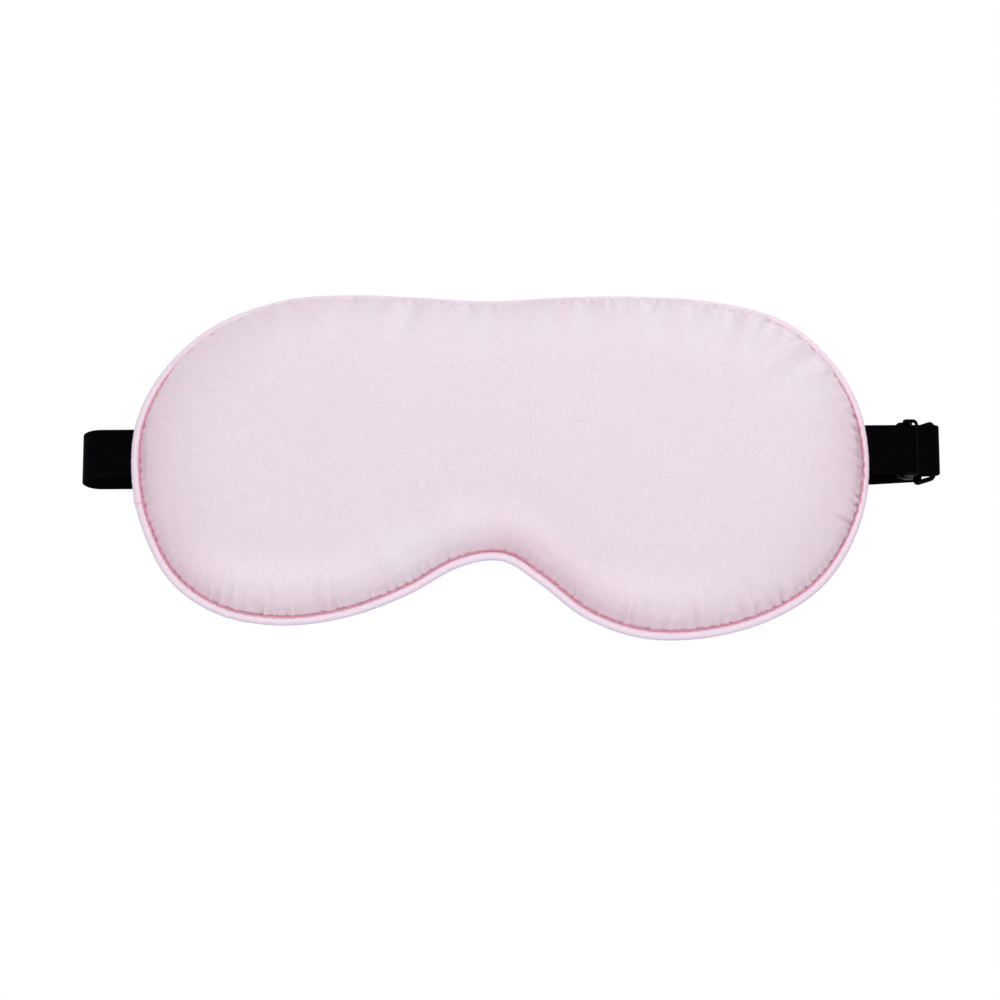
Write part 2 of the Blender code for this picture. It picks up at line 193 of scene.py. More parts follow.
def edge_frame(places):
    """For (x, z) places, how far each lies inside the outline and how far along it."""
    inside = np.empty(len(places))
    along = np.empty(len(places))
    for start in range(0, len(places), 4000):
        block = places[start : start + 4000]
        gap = ((block[:, None, :] - EDGE[None, :, :]) ** 2).sum(axis=2)
        near = gap.argmin(axis=1)
        step = block - EDGE[near]
        inside[start : start + 4000] = (step * INWARD[near]).sum(axis=1)
        tangent = np.stack([INWARD[near][:, 1], -INWARD[near][:, 0]], axis=1)
        ahead = (step * tangent).sum(axis=1)
        along[start : start + 4000] = near / OUTLINE_STEPS * EDGE_LENGTH + ahead
    return inside, along


def along_at(x, z):
    """How far along the outline its nearest point to (x, z), in millimetres, lies."""
    return edge_frame(np.array([[x * MM, z * MM]]))[1][0]


def past(along, spot):
    """How far each place along the outline lies past the spot, the short way round."""
    return (along - spot + EDGE_LENGTH / 2) % EDGE_LENGTH - EDGE_LENGTH / 2


def inward_at(along):
    """The inward normal at each place along the outline."""
    return INWARD[(along / EDGE_LENGTH * OUTLINE_STEPS).astype(int) % OUTLINE_STEPS]


def bumps_along(along, bumps):
    """The sum of soft bumps round the outline."""
    total = np.zeros_like(along)
    for place, half_width, size in bumps:
        total += size * np.exp(-((past(along, along_at(*place)) / (half_width * MM)) ** 2))
    return total


def seam_shift(along):
    """How much further inside the outline than usual the stitched line lies."""
    wave = bumps_along(along, SEAM_WAVES) * np.sin(2 * math.pi * along / SEAM_WAVE_LENGTH)
    return (bumps_along(along, SEAM_SHIFTS) + wave) * MM


def ease(share):
    """A smooth step: level at 0 and at 1."""
    return share * share * (3 - 2 * share)


# -------- mesh helpers


def new_object(name, vertices, faces):
    mesh = bpy.data.meshes.new(name)
    mesh.from_pydata([tuple(v) for v in vertices], [], [tuple(f) for f in faces])
    mesh.update()
    obj = bpy.data.objects.new(name, mesh)
    bpy.context.scene.collection.objects.link(obj)
    mesh.shade_smooth()
    return obj


def face_outwards(obj):
    body = bmesh.new()
    body.from_mesh(obj.data)
    bmesh.ops.recalc_face_normals(body, faces=body.faces)
    body.to_mesh(obj.data)
    body.free()


def joined_tubes(name, tubes, closed=False):
    """One object of many skins, each over rings of points. A closed skin joins its last ring to
    its first, and an open one has both ends capped."""
    vertices = []
    faces = []
    for rings in tubes:
        grid = np.array(rings, float)
        rows, columns = grid.shape[:2]
        first = len(vertices)
        vertices.extend(grid.reshape(-1, 3))
        for row in range(rows if closed else rows - 1):
            here = first + row * columns
            after = first + (row + 1) % rows * columns
            for column in range(columns):
                right = (column + 1) % columns
                faces.append((here + column, here + right, after + right, after + column))
        if not closed:
            last = first + (rows - 1) * columns
            faces.append(tuple(range(first, first + columns)))
            faces.append(tuple(range(last + columns - 1, last - 1, -1)))
    obj = new_object(name, vertices, faces)
    face_outwards(obj)
    return obj


def loft(name, rings, closed=False):
    return joined_tubes(name, [rings], closed)


def bake(obj):
    """Applies the object's modifiers to its mesh."""
    graph = bpy.context.evaluated_depsgraph_get()
    mesh = bpy.data.meshes.new_from_object(obj.evaluated_get(graph))
    obj.modifiers.clear()
    obj.data = mesh


def of_vertices(mesh, key):
    """What each vertex has: its place (co) or its normal."""
    found = np.empty(len(mesh.vertices) * 3)
    mesh.vertices.foreach_get(key, found)
    return found.reshape(-1, 3)


def set_coordinates(obj, points):
    obj.data.vertices.foreach_set("co", np.asarray(points, float).ravel())
    obj.data.update()


def finish_piece(obj, material, body, replaced=()):
    obj.data.materials.clear()
    obj.data.materials.append(material)
    if body:
        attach(obj, body)
    if replaced:
        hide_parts(*replaced)


# -------- materials


class Nodes:
    """A small helper that builds a material's node tree."""

    def __init__(self, name):
        self.material = bpy.data.materials.new(name)
        self.material.use_nodes = True
        self.tree = self.material.node_tree
        self.shader = self.tree.nodes["Principled BSDF"]
        self.place = self.add("ShaderNodeTexCoord").outputs["Object"]

    def add(self, kind, **values):
        node = self.tree.nodes.new(kind)
        for key, value in values.items():
            setattr(node, key, value)
        return node

    def link(self, source, target):
        self.tree.links.new(source, target)

    def scaled(self, scale, turn=(0, 0, 0)):
        node = self.add("ShaderNodeMapping")
        node.inputs["Scale"].default_value = scale
        node.inputs["Rotation"].default_value = turn
        self.link(self.place, node.inputs["Vector"])
        return node.outputs["Vector"]

    def noise(self, scale, stretch=(1, 1, 1), detail=3.0, roughness=0.5, turn=(0, 0, 0)):
        node = self.add("ShaderNodeTexNoise")
        node.inputs["Scale"].default_value = scale
        node.inputs["Detail"].default_value = detail
        node.inputs["Roughness"].default_value = roughness
        self.link(self.scaled(stretch, turn), node.inputs["Vector"])
        return node.outputs["Fac"]

    def wave(self, scale, direction, distortion=0.0):
        node = self.add("ShaderNodeTexWave", wave_type="BANDS", bands_direction=direction)
        node.inputs["Scale"].default_value = scale
        node.inputs["Distortion"].default_value = distortion
        node.inputs["Detail"].default_value = 1.0
        self.link(self.scaled((1, 1, 1)), node.inputs["Vector"])
        return node.outputs["Fac"]

    def ramp(self, factor, stops):
        node = self.add("ShaderNodeValToRGB")
        bar = node.color_ramp
        while len(bar.elements) < len(stops):
            bar.elements.new(0.5)
        for element, (place, colour) in zip(bar.elements, stops):
            element.position = place
            element.color = (*colour, 1.0)
        self.link(factor, node.inputs["Fac"])
        return node.outputs["Color"]

    def mix(self, factor, first, second, blend="MIX"):
        node = self.add("ShaderNodeMix", data_type="RGBA", blend_type=blend)
        if isinstance(factor, float):
            node.inputs["Factor"].default_value = factor
        else:
            self.link(factor, node.inputs["Factor"])
        for socket, value in ((node.inputs[6], first), (node.inputs[7], second)):
            if isinstance(value, tuple):
                socket.default_value = (*value, 1.0)
            else:
                self.link(value, socket)
        return node.outputs[2]

    def range(self, factor, low, high):
        node = self.add("ShaderNodeMapRange")
        node.inputs["To Min"].default_value = low
        node.inputs["To Max"].default_value = high
        self.link(factor, node.inputs["Value"])
        return node.outputs["Result"]

    def bump(self, height, strength, distance, before=None):
        node = self.add("ShaderNodeBump")
        node.inputs["Strength"].default_value = strength
        node.inputs["Distance"].default_value = distance
        self.link(height, node.inputs["Height"])
        if before is not None:
            self.link(before, node.inputs["Normal"])
        return node.outputs["Normal"]

    def finish(self, colour, roughness, normal=None, **sockets):
        self.link(colour, self.shader.inputs["Base Color"])
        self.link(roughness, self.shader.inputs["Roughness"])
        if normal is not None:
            self.link(normal, self.shader.inputs["Normal"])
        for name, value in sockets.items():
            self.shader.inputs[name.replace("_", " ")].default_value = value
        return self.material


# A painted shade makes the piping's far rim bluer, and the satin's painted highlight patches leave
# this share of what it absorbs.
RIM_SHADE_TINT = (0.74, 0.76, 0.88)
HIGHLIGHT_LEAVES = 0.74


def satin_material(name, base, seam, grain_turn=0.0):
    """Warp-faced satin: fine floats with a broad sheen, a painted shade of deeper pink at the seams
    and painted highlight patches.
    """
    n = Nodes(name)
    turn = (0, grain_turn, 0)
    drift = n.noise(14.0, detail=3.0)
    floats = n.noise(1.0, (2600.0, 900.0, 620.0), detail=2.0, turn=turn)
    slub = n.noise(1.0, (420.0, 160.0, 60.0), detail=2.0, turn=turn)
    speck = n.noise(1500.0, detail=2.0, roughness=0.6)
    tone = n.ramp(drift, [(0.3, tuple(c * 0.985 for c in base)), (0.7, base)])
    rim = tuple(c * s for c, s in zip(base, RIM_SHADE_TINT))
    painted_highlight_colour = tuple(1 - (1 - c) * HIGHLIGHT_LEAVES for c in base)
    # Painted shade at the seams, painted bluer shade on the piping's far rim and painted highlight
    # patches, in the amounts stored on each mesh.
    for stored, shade in (("seam", seam), ("outer", rim), ("lustre", painted_highlight_colour)):
        amount = n.add("ShaderNodeAttribute", attribute_name=stored)
        tone = n.mix(amount.outputs["Fac"], tone, shade)
    bright = tuple(min(1.0, c * 1.07) for c in base)
    colour = n.mix(n.range(slub, 0.0, 0.3), tone, bright)
    grain = n.ramp(speck, [(0.3, (0.90, 0.90, 0.905)), (0.7, (1.0, 1.0, 1.0))])
    colour = n.mix(1.0, colour, grain, "MULTIPLY")
    roughness = n.range(floats, 0.32, 0.5)
    normal = n.bump(slub, 0.18, 0.00012, n.bump(speck, 0.25, 0.00006))
    normal = n.bump(floats, 0.25, 0.00006, normal)
    return n.finish(
        colour,
        roughness,
        normal,
        Sheen_Weight=0.04,
        Sheen_Roughness=0.4,
        Specular_IOR_Level=1.0,
        Subsurface_Weight=0.3,
        Subsurface_Radius=(1.0, 0.45, 0.55),
        Subsurface_Scale=0.0012,
    )


def thread_material(name, base, dark):
    n = Nodes(name)
    twist = n.wave(900.0, "DIAGONAL")
    colour = n.mix(n.range(twist, 0.0, 1.0), dark, base)
    roughness = n.range(n.noise(1500.0), 0.45, 0.65)
    return n.finish(colour, roughness, n.bump(twist, 0.5, 0.00005), Sheen_Weight=0.2)


def wadding_material(name, base):
    n = Nodes(name)
    fibre = n.noise(600.0, (1, 3, 1), detail=6.0, roughness=0.7)
    colour = n.ramp(fibre, [(0.3, tuple(c * 0.85 for c in base)), (0.7, base)])
    return n.finish(colour, n.range(fibre, 0.85, 1.0), n.bump(fibre, 0.6, 0.0006), Sheen_Weight=0.3)


def cloth_material(name, base):
    """Plain close weave, for the lining and the piping's cord."""
    n = Nodes(name)
    warp = n.wave(1100.0, "X")
    weft = n.wave(1100.0, "Z")
    weave = n.mix(0.5, warp, weft, "MULTIPLY")
    colour = n.mix(n.range(weave, 0.0, 0.5), base, tuple(min(1.0, c * 1.5 + 0.01) for c in base))
    return n.finish(colour, n.range(weave, 0.8, 0.95), n.bump(weave, 0.5, 0.0002))


def elastic_material(name):
    """Black knitted elastic: rubber cores run along it and the cover yarns cross them."""
    n = Nodes(name)
    picks = n.wave(560.0, "X", distortion=0.6)
    yarn = n.noise(1.0, (1500.0, 1500.0, 3200.0), detail=2.0)
    fluff = n.noise(260.0, detail=4.0)
    tone = n.ramp(yarn, [(0.3, (0.0004, 0.0004, 0.0009)), (0.75, (0.0016, 0.0014, 0.0026))])
    colour = n.mix(n.range(fluff, 0.0, 0.3), tone, (0.003, 0.0028, 0.0042))
    normal = n.bump(picks, 0.45, 0.00012, n.bump(yarn, 0.35, 0.00008))
    return n.finish(colour, n.range(yarn, 0.62, 0.85), normal, IOR=1.08)


def plastic_material(name):
    """Glossy black moulded acetal with a faint flow texture and scuffs that vary its gloss."""
    n = Nodes(name)
    flow = n.noise(180.0, (1, 1, 2.5), detail=3.0)
    scuffs = n.noise(900.0, (4, 1, 1), detail=4.0, roughness=0.65)
    colour = n.ramp(flow, [(0.3, (0.001, 0.001, 0.0015)), (0.7, (0.003, 0.003, 0.004))])
    roughness = n.range(scuffs, 0.12, 0.32)
    return n.finish(colour, roughness, n.bump(flow, 0.08, 0.0001), IOR=1.1)


PINK = (0.905, 0.718, 0.81)
# Painted shade: the deeper pink mixed into the satin beside the seams.
SEAM_SHADE_PINK = (0.84, 0.53, 0.63)
PANEL_SATIN = satin_material("panel satin", PINK, SEAM_SHADE_PINK)
BACK_SATIN = satin_material("back satin", PINK, SEAM_SHADE_PINK, 0.03)
# The piping's second colour is the painted shade on its inner shoulder.
PIPING_SATIN = satin_material("piping satin", (0.92, 0.77, 0.88), (0.93, 0.52, 0.64), 0.78)
ROSE_THREAD = thread_material("rose thread", (0.90, 0.42, 0.54), (0.72, 0.24, 0.35))
WADDING = wadding_material("wadding", (0.85, 0.84, 0.82))
BLACKOUT = cloth_material("blackout cloth", (0.02, 0.02, 0.022))
COTTON = cloth_material("cotton cord", (0.72, 0.70, 0.66))
ELASTIC = elastic_material("black elastic")
BLACK_THREAD = thread_material("black thread", (0.03, 0.03, 0.035), (0.008, 0.008, 0.01))
PLASTIC = plastic_material("black plastic")


# -------- satin panels


def dome_height(inside, height):
    """How far a panel stands out from the seam: steep at the seam and flat in the middle."""
    share = np.clip((inside - PANEL_INSET) / DOME_REACH, 0.0, 1.0)
    return height * np.clip(1 - (1 - share) ** DOME_POWER, 0.0, 1.0) ** (1 / DOME_POWER)


def overhang(along):
    """How far the front panel bulges out over the piping, round the outline."""
    spots = [along_at(*place) for place, size in OVERHANGS]
    sizes = [size * MM for place, size in OVERHANGS]
    return np.interp(along, spots, sizes, period=EDGE_LENGTH)


def strap_lift(places):
    """1 where a strap goes into the seam, 0 elsewhere, with soft shoulders."""
    near_end = np.clip((np.abs(places[:, 0]) - 88 * MM) / (8 * MM), 0.0, 1.0)
    off = np.abs(places[:, 1] - strap_z(places[:, 0])) - STRAP_HALF_WIDTH
    off = np.clip(off / (5 * MM), 0.0, 1.0)
    return ease(near_end) * (1 - ease(off))


def flat_panel(boundary_steps, spacing):
    """(x, z) points and triangles that fill the seam line evenly."""
    step = OUTLINE_STEPS // boundary_steps
    rim = (EDGE + INWARD * PANEL_INSET)[::step]
    low = rim.min(axis=0)
    high = rim.max(axis=0)
    rows = np.arange(low[1], high[1], spacing * math.sqrt(3) / 2)
    grid = []
    for number, z in enumerate(rows):
        start = low[0] + (number % 2) * spacing / 2
        grid += [(x, z) for x in np.arange(start, high[0], spacing)]
    grid = np.array(grid)
    inside, _ = edge_frame(grid)
    grid = grid[inside > PANEL_INSET + 0.65 * spacing]
    points = [Vector(p) for p in np.vstack([rim, grid])]
    loop = list(range(len(rim)))
    found = geometry.delaunay_2d_cdt(points, [], [loop], 1, 1e-7)
    return np.array([(p.x, p.y) for p in found[0]]), found[2]


SWELL_PRESSURE = 3.0
SWELL_GATHER = 0.07
SWELL_FRAMES = 22
SWELL_CAP = 4.0 * MM

# The front is gathered only this share as much at its left end as at its right.
LEFT_GATHER = 0.15

# Away from the seam the filling holds the panel down: it starts to swell less at the first
# distance inside the outline, and swells this share less beyond the second.
CALM_FROM = 12 * MM
CALM_TO = 26 * MM
CALM_SHARE = 0.6


def swell(obj, pinned, gathered):
    """Blows the panel up a little against its seam, so that the cloth gathers where it is sewn."""
    start = of_vertices(obj.data, "co")
    pins = obj.vertex_groups.new(name="pins")
    for index in np.flatnonzero(pinned):
        pins.add([int(index)], 1.0, "REPLACE")
    gather = obj.vertex_groups.new(name="gather")
    for index, weight in enumerate(gathered):
        gather.add([index], float(weight), "REPLACE")
    cloth = obj.modifiers.new("Cloth", "CLOTH")
    settings = cloth.settings
    settings.quality = 6
    settings.mass = 0.15
    settings.tension_stiffness = 25
    settings.compression_stiffness = 25
    settings.shear_stiffness = 12
    settings.bending_stiffness = 0.01
    settings.tension_damping = 8
    settings.air_damping = 2
    settings.use_pressure = True
    settings.uniform_pressure_force = SWELL_PRESSURE
    settings.vertex_group_mass = pins.name
    settings.vertex_group_shrink = gather.name
    settings.shrink_min = 0.0
    settings.shrink_max = -SWELL_GATHER
    settings.effector_weights.gravity = 0.0
    cloth.collision_settings.use_collision = False
    scene = bpy.context.scene
    cloth.point_cache.frame_start = 1
    cloth.point_cache.frame_end = SWELL_FRAMES
    for number in range(1, SWELL_FRAMES + 1):
        scene.frame_set(number)
    graph = bpy.context.evaluated_depsgraph_get()
    mesh = bpy.data.meshes.new_from_object(obj.evaluated_get(graph))
    step = of_vertices(mesh, "co") - start
    bpy.data.meshes.remove(mesh)
    obj.modifiers.clear()
    scene.frame_set(1)
    length = np.linalg.norm(step, axis=1)
    step *= (np.minimum(length, SWELL_CAP) / np.maximum(length, 1e-9))[:, None]
    inside, _ = edge_frame(start[:, [0, 2]])
    inner = ease(np.clip((inside - CALM_FROM) / (CALM_TO - CALM_FROM), 0, 1))
    step *= 1 - CALM_SHARE * inner[:, None]
    set_coordinates(obj, start + step)


STITCH_CLEAR = 2.62 * MM
STITCH_PITCH = 2.8 * MM
DIMPLE_DEPTH = 0.34 * MM
DIMPLE_REACH = 0.9 * MM
DIMPLE_WIDTH = 0.8 * MM


def clear_of_stitches(obj):
    """Draws the swollen wall back where it would cover the stitches."""
    points = of_vertices(obj.data, "co")
    inside, along = edge_frame(points[:, [0, 2]])
    lift = np.clip((np.abs(points[:, 1] - SEAM_Y) - PANEL_EDGE) / (0.5 * MM), 0, 1)
    clear = STITCH_CLEAR - PANEL_INSET - overhang(along)
    wanted = PANEL_INSET + seam_shift(along) + clear * lift
    short = np.clip(wanted - inside, 0, None)
    points[:, [0, 2]] += inward_at(along) * short[:, None]
    set_coordinates(obj, points)


# Where the cloth is gathered: (from, to) as points on the outline in mm, creases in each 10 mm,
# their depth, half width and reach in mm.
GATHERS = (
    ((97, 28), (6, 51.4), 0.7, 0.66, 2.6, 12.0),
    ((99, 26), (12, 51.5), 1.3, 0.32, 0.8, 4.0),
    ((102, -22), (102, 20), 3.6, 0.60, 0.7, 4.0),
    ((22, -44), (84, -42), 2.2, 0.60, 0.8, 5.0),
    ((-84, -42), (-44, -45), 2.2, 0.60, 0.8, 5.0),
    ((-4, 50), (-80, 42), 0.7, 0.44, 2.0, 10.0),
)

NOSE_CREASE = (-0.6, -28.1)


def creases():
    """(place along the outline, half width, reach, depth, slant) of each short crease."""
    found = []
    for first, last, density, depth, width, reach in GATHERS:
        start = along_at(*first)
        length = (along_at(*last) - start) % EDGE_LENGTH
        count = int(length / (10 * MM) * density)
        spots = start + (np.arange(count) + rng.uniform(0.2, 0.8, count)) / count * length
        for spot in spots:
            found.append(
                (
                    spot % EDGE_LENGTH,
                    width * rng.uniform(0.7, 1.3) * MM,
                    reach * rng.uniform(0.6, 1.4) * MM,
                    depth * rng.uniform(0.4, 1.15) * MM,
                    rng.uniform(-0.25, 0.25),
                )
            )
    found.append((along_at(*NOSE_CREASE), 1.0 * MM, 9.0 * MM, 0.45 * MM, 0.0))
    for spot in np.arange(0, EDGE_LENGTH, 9 * MM):
        found.append(
            (
                (spot + rng.uniform(-3, 3) * MM) % EDGE_LENGTH,
                rng.uniform(0.6, 1.1) * MM,
                rng.uniform(2.0, 5.0) * MM,
                rng.uniform(0.05, 0.16) * MM,
                rng.uniform(-0.3, 0.3),
            )
        )
    return found


def crease_depth(along, reach):
    """How far the creases press the cloth in at each place, reach being how far inside the seam."""
    drop = np.zeros(len(along))
    start = 1 - np.exp(-np.clip(reach, 0, 1) / (0.5 * MM))
    for spot, width, length, depth, slant in creases():
        off = past(along, spot) - slant * reach
        spread = width * (1 + 0.8 * np.clip(reach / length, 0, 2))
        shape = np.exp(-((off / spread) ** 2))
        shape = shape - 0.55 * np.exp(-(((np.abs(off) - 1.9 * spread) / spread) ** 2))
        drop += depth * shape * start * np.exp(-((reach / length) ** 2))
    return drop


def store(obj, name, values):
    """Keeps a value at each point, for the material to read."""
    attribute = obj.data.attributes.new(name, "FLOAT", "POINT")
    attribute.data.foreach_set("value", values.ravel().astype(np.float32))


def pucker(obj, side):
    """Presses short creases into the panel from its seam and a dimple at each stitch, and stores its
    painted shade and painted highlight.
    """
    points = of_vertices(obj.data, "co")
    out = of_vertices(obj.data, "normal")
    inside, along = edge_frame(points[:, [0, 2]])
    reach = inside - PANEL_INSET - seam_shift(along)
    drop = crease_depth(along, reach)
    dimple = 0.5 + 0.5 * np.cos(2 * math.pi * along / STITCH_PITCH)
    drop += DIMPLE_DEPTH * dimple * np.exp(-((reach - DIMPLE_REACH) / DIMPLE_WIDTH) ** 2)
    if side > 0:
        drop *= 1 - strap_lift(points[:, [0, 2]])
    set_coordinates(obj, points - out * drop[:, None])
    # Painted shade: the satin turns deeper pink near the seam, less where the front bulges over it.
    strength = LEAST_SHADE + bumps_along(along, SEAM_SHADES)
    hidden = overhang(along) / (3 * MM)
    store(obj, "seam", np.exp(-np.clip(reach, 0, 1) / SEAM_SHADE) * strength * (1 - hidden))
    # Painted highlight: lighter patches in waves along the seam, a little way inside it.
    first, second = (np.sin(2 * math.pi * along / length) for length in HIGHLIGHT_WAVES)
    highlight_amount = (0.5 + 0.25 * (first + second)) * np.clip(bumps_along(along, PAINTED_HIGHLIGHTS), 0, 1)
    highlight_amount *= np.exp(-(((reach - HIGHLIGHT_REACH) / HIGHLIGHT_REACH) ** 2))
    highlight_amount *= np.clip(reach / (2 * MM), 0, 1)
    store(obj, "lustre", highlight_amount)


def subdivide(obj, levels):
    smooth = obj.modifiers.new("Fine mesh", "SUBSURF")
    smooth.levels = levels
    smooth.render_levels = levels
    smooth.boundary_smooth = "PRESERVE_CORNERS"
    bake(obj)


def make_panel(name, side, rise, boundary_steps, spacing):
    """A puffed satin panel: side is -1 for the front and 1 for the back."""
    places, faces = flat_panel(boundary_steps, spacing)
    inside, along = edge_frame(places)
    depth = PANEL_EDGE + dome_height(inside, rise - PANEL_EDGE)
    if side > 0:
        over = FRONT_RUN + STRAP_HALF + 0.35 * MM
        lift = strap_lift(places)
        depth = np.maximum(depth, PANEL_EDGE + lift * (over - PANEL_EDGE))
    out = -seam_shift(along) * np.exp(-np.clip(inside - PANEL_INSET, 0, None) / SHIFT_REACH)
    if side < 0:
        reach = (inside - PANEL_INSET) / (2.0 * MM)
        out += overhang(along) * reach * np.exp(1 - np.clip(reach, 0, 30))
    places = places - inward_at(along) * out[:, None]
    points = np.stack([places[:, 0], SEAM_Y + side * depth, places[:, 1]], axis=1)
    obj = new_object(name, points, faces)
    if of_vertices(obj.data, "normal")[:, 1].mean() * side < 0:
        obj.data.flip_normals()
    pinned = inside < PANEL_INSET + 0.3 * MM
    gathered = np.exp(-((inside - PANEL_INSET) / (9 * MM)) ** 2)
    if side < 0:
        right_side = np.clip((places[:, 0] + 30 * MM) / (60 * MM), 0, 1)
        gathered *= LEFT_GATHER + (1 - LEFT_GATHER) * right_side
    swell(obj, pinned, gathered)
    clear_of_stitches(obj)
    subdivide(obj, 2)
    pucker(obj, side)
    thick = obj.modifiers.new("Cloth thickness", "SOLIDIFY")
    thick.thickness = PANEL_CLOTH
    thick.offset = -1
    bake(obj)
    obj.data.shade_smooth()
    return obj


front_panel = make_panel("front_panel", -1, FRONT_RISE, 390, 1.7 * MM)
finish_piece(front_panel, PANEL_SATIN, "mask", ("front_cover",))
back_panel = make_panel("back_panel", 1, BACK_RISE, 260, 2.2 * MM)
finish_piece(back_panel, BACK_SATIN, "mask", ("back_cover",))


# -------- fillings


FILLING_SCALE = 0.915
FILLING_BASE = 0.45 * MM
FILLING_GAP = 1.4 * MM


def make_filling(name, side, rise):
    """Fibre filling: a soft crowned pad that stops short of the seam allowance."""
    places, faces = flat_panel(130, 4.0 * MM)
    centre = (places.max(axis=0) + places.min(axis=0)) / 2
    inside, _ = edge_frame(places)
    shrunk = centre + (places - centre) * FILLING_SCALE
    height = dome_height(inside, rise - PANEL_EDGE) - FILLING_GAP
    crown = np.maximum(height, 0.15 * MM) * 0.92
    wobble = rng.normal(0, 0.08 * MM, len(crown))
    rim = inside < PANEL_INSET + 0.3 * MM
    crown = np.where(rim, 0.0, crown + wobble)
    low = np.full(len(crown), SEAM_Y + side * FILLING_BASE)
    high = SEAM_Y + side * (FILLING_BASE + crown)
    top = np.stack([shrunk[:, 0], high, shrunk[:, 1]], axis=1)
    flat = np.stack([shrunk[:, 0], low, shrunk[:, 1]], axis=1)
    count = len(top)
    inner = np.flatnonzero(~rim)
    moved = {int(n): count + k for k, n in enumerate(inner)}
    under = [tuple(moved.get(n, n) for n in reversed(face)) for face in faces]
    obj = new_object(name, np.vstack([top, flat[inner]]), list(faces) + under)
    face_outwards(obj)
    subdivide(obj, 1)
    return obj


for filling, side, rise in (("front", -1, FRONT_RISE), ("back", 1, BACK_RISE)):
    pad = make_filling(filling + "_filling", side, rise)
    finish_piece(pad, WADDING, "mask", (filling + "_padding",))


# -------- piping


PIPING_SIDES = 20
JOIN_ALONG = along_at(-104.7, -10.9)

# Ripples of the bias-cut strip: (waves round the outline, slant, size in mm).
RIPPLES = ((190, 1, 0.020), (263, 1, 0.014), (341, 2, 0.010), (97, -1, 0.014))


def join_height(off):
    """The join of the strip's ends: a raised fold with a groove, and a thinner start past it."""
    fold = 0.26 * MM * np.exp(-((off / (1.5 * MM)) ** 2))
    groove = 0.42 * MM * np.exp(-((off / (0.28 * MM)) ** 2))
    return fold - groove - np.where(off > 0, 0.18 * MM * np.exp(-off / (3 * MM)), 0)


def make_piping():
    """Bias-cut satin drawn round its cord: fine slanting ripples, and a join on the left."""
    middle = EDGE + INWARD * PIPING_RADIUS
    along = np.arange(OUTLINE_STEPS) / OUTLINE_STEPS * EDGE_LENGTH
    turns = np.arange(PIPING_SIDES) / PIPING_SIDES * 2 * math.pi
    a, t = np.meshgrid(along, turns, indexing="ij")
    cycle = 2 * math.pi / EDGE_LENGTH
    ripple = np.zeros_like(a)
    for waves, slant, size in RIPPLES:
        ripple += size * MM * np.sin(waves * cycle * a + slant * t + rng.uniform(0, 6.28))
    slow = 0.5 + 0.5 * np.sin(9 * cycle * a + 1.0) * np.sin(4 * cycle * a)
    ripple *= 0.5 + slow
    off = past(a, JOIN_ALONG) + 0.35 * MM * np.sin(t)
    radius = PIPING_RADIUS - 0.04 * MM + ripple + join_height(off)
    rings = []
    for n in range(OUTLINE_STEPS):
        across = -np.cos(turns) * radius[n]
        through = np.sin(turns) * radius[n]
        x = middle[n, 0] + INWARD[n, 0] * across
        z = middle[n, 1] + INWARD[n, 1] * across
        rings.append(np.stack([x, SEAM_Y + through, z], axis=1))
    obj = loft("piping", rings, closed=True)
    lean = -np.cos(turns)
    # Painted shade: the piping's inner shoulder, towards the panel, takes a deeper pink; the same
    # pink also lies across the join.
    seam = np.clip((lean - 0.35) / 0.55, 0, 1)[None, :]
    seam = np.maximum(seam, 0.9 * np.exp(-((off / (0.4 * MM)) ** 2)))
    store(obj, "seam", seam)
    # Painted shade: the piping's far rim, turned away from the lights, is tinted bluer.
    store(obj, "outer", np.tile(np.clip((-lean - 0.75) / 0.25, 0, 1), (OUTLINE_STEPS, 1)))
    return obj


piping = make_piping()
finish_piece(piping, PIPING_SATIN, "mask", ("piping_cover",))


# -------- stitches


def stitch(start, end, sink, radius, up, sides=8, steps=7):
    """Rings of one stitch: a short thread that dips into the cloth at both ends."""
    along = (end - start) / np.linalg.norm(end - start)
    across = np.cross(along, up)
    rings = []
    for n in range(steps):
        t = n / (steps - 1)
        dip = sink * (2 * t - 1) ** 4
        middle = start + (end - start) * t - up * dip
        size = radius * math.sqrt(max(0.12, 1 - (2 * t - 1) ** 6))
        turns = np.arange(sides) / sides * 2 * math.pi
        rings.append([middle + size * (math.cos(a) * across + math.sin(a) * up) for a in turns])
    return rings


SEAM_THREAD_INSET = 2.45 * MM
SEAM_THREAD_RADIUS = 0.25 * MM
LEAST_THREAD_DEPTH = 0.95 * MM
NEEDLE_DIP = 0.26 * MM
STEPS_PER_STITCH = 12
THREAD_SIDES = 8


